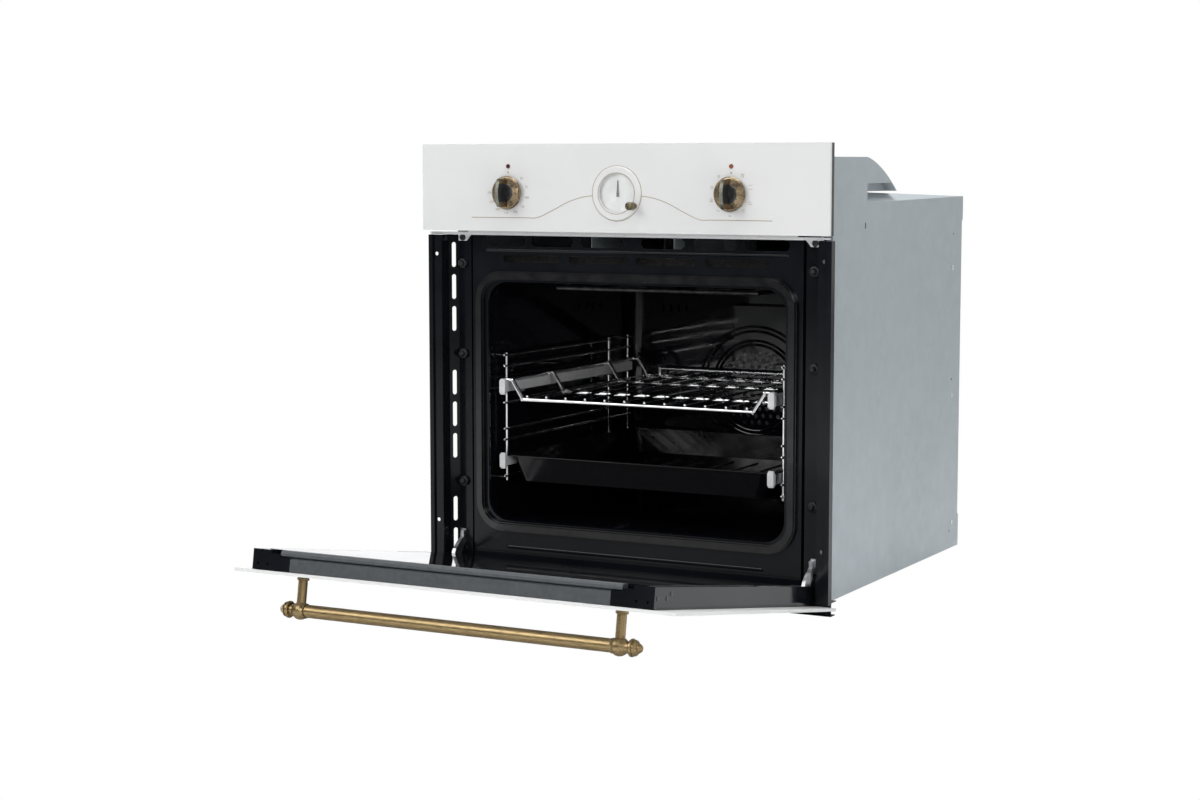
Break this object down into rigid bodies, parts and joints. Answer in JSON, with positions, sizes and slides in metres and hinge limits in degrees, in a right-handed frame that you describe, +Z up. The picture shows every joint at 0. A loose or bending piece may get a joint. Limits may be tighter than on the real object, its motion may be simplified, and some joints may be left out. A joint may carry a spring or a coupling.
{
  "type": "built-in gas oven",
  "caption": "Built-in oven with an ivory control panel, black enamelled cavity, telescopic shelves, rear fan and a drop-down door with a turned bronze bar handle.",
  "frame": {"origin": "centre of the flat underside of the drawn base pan", "axes": "+X to the right seen from the front, +Y from the control panel to the back, +Z up"},
  "size_m": [0.595, 1.0141, 0.602],
  "materials": {
    "galvanised": "satin",
    "enamel": "gloss",
    "cavity_enamel": "gloss",
    "wool": "fibrous",
    "gasket_rubber": "satin",
    "bright_steel": "bright",
    "ivory_paint": "satin",
    "black_plastic": "matte",
    "white_plastic": "gloss",
    "clear_glass": "clear",
    "lamp_red": "gloss",
    "brass": "cast",
    "grey_plastic": "matte",
    "chrome_wire": "polished",
    "zinc": "plated",
    "dark_steel": "oxidised",
    "lamp_ceramic": "glazed",
    "aluminium": "plain",
    "bumper_rubber": "matte",
    "bronze": "antique",
    "grey_trim": "satin",
    "dark_glass": "mirror-like"
  },
  "bodies": {
    "oven": {"casing_left": "galvanised", "casing_right": "galvanised", "rear_panel": "enamel", "base_panel": "galvanised", "top_cover": "galvanised", "duct_hood": "galvanised", "front_facade": "enamel", "cavity_shell": "cavity_enamel", "insulation": "wool", "cavity_gasket": "gasket_rubber", "trim_left": "enamel", "trim_right": "enamel", "bottom_trim": "enamel", "air_deflector": "bright_steel", "control_panel": "ivory_paint", "panel_backing": "black_plastic", "clock_bezel": "white_plastic", "clock_dial": "white_plastic", "clock_glass": "clear_glass", "pilot_lamps": "lamp_red", "thermostat_valve": "brass", "function_switch": "grey_plastic", "timer_movement": "grey_plastic", "side_rack_left": "chrome_wire", "side_rack_right": "chrome_wire", "fixed_rails": "zinc", "fan_baffle": "cavity_enamel", "fan_motor": "dark_steel", "cooling_housing": "galvanised", "cooling_motor": "dark_steel", "oven_lamp": "lamp_ceramic", "lamp_glass": "clear_glass", "grill_element": "dark_steel", "gas_burner": "dark_steel", "burner_floor": "cavity_enamel", "gas_pipe": "aluminium", "igniter": "lamp_ceramic", "thermocouple": "brass", "hinge_arms": "zinc", "bumpers": "bumper_rubber", "terminal_box": "black_plastic"},
    "stem": {"thermostat_stem": "zinc"},
    "temperature": {"temperature_knob": "bronze"},
    "function": {"function_knob": "bronze"},
    "timer": {"timer_knob": "bronze"},
    "hand": {"clock_hand": "dark_steel"},
    "upper_shelf": {"grid_rack": "chrome_wire", "upper_slides": "grey_plastic"},
    "lower_shelf": {"deep_tray": "cavity_enamel", "lower_slides": "grey_plastic"},
    "fan": {"fan_impeller": "aluminium"},
    "cooler": {"cooling_rotor": "aluminium"},
    "door": {"door_panel": "ivory_paint", "door_frame": "enamel", "door_top_trim": "grey_trim", "door_inner_glass": "dark_glass", "door_middle_glass": "dark_glass", "hinge_cassettes": "zinc", "handle_bar": "bronze", "handle_posts": "bronze"}
  },
  "joints": [
    {"name": "door_hinge", "type": "hinge", "parent": "oven", "child": "door", "pos_m": [0, -0.2892, 0.0259], "axis": [1, 0, 0], "range_deg": [-80.6, 0]},
    {"name": "gas_push", "type": "slide", "parent": "oven", "child": "stem", "axis": [0, 1, 0], "range_m": [0, 0.003], "stiffness_N_per_m": 600},
    {"name": "temperature_turn", "type": "hinge", "parent": "stem", "child": "temperature", "pos_m": [-0.163, -0.3075, 0.5375], "axis": [0, 1, 0], "range_deg": [0, 270]},
    {"name": "function_turn", "type": "hinge", "parent": "oven", "child": "function", "pos_m": [0.163, -0.3075, 0.5375], "axis": [0, 1, 0], "range_deg": [0, 300]},
    {"name": "timer_turn", "type": "hinge", "parent": "oven", "child": "timer", "pos_m": [0.026, -0.3075, 0.5215], "axis": [0, 1, 0], "range_deg": [0, 330]},
    {"name": "hand_turn", "type": "hinge", "parent": "oven", "child": "hand", "pos_m": [0, -0.3075, 0.5375], "axis": [0, 1, 0], "range_deg": [0, 330]},
    {"name": "upper_runners", "type": "slide", "parent": "oven", "child": "upper_shelf", "axis": [0, -1, 0], "range_m": [0, 0.3]},
    {"name": "lower_runners", "type": "slide", "parent": "oven", "child": "lower_shelf", "axis": [0, -1, 0], "range_m": [0, 0.3]},
    {"name": "fan_turn", "type": "hinge", "parent": "oven", "child": "fan", "pos_m": [0, 0.1675, 0.245], "axis": [0, -1, 0], "continuous": true},
    {"name": "cooling_turn", "type": "hinge", "parent": "oven", "child": "cooler", "pos_m": [0, -0.0395, 0.47], "axis": [0, 0, 1], "continuous": true}
  ],
  "couplings": [
    {"joint": "hand_turn", "follows": "timer_turn", "ratio": 1}
  ]
}
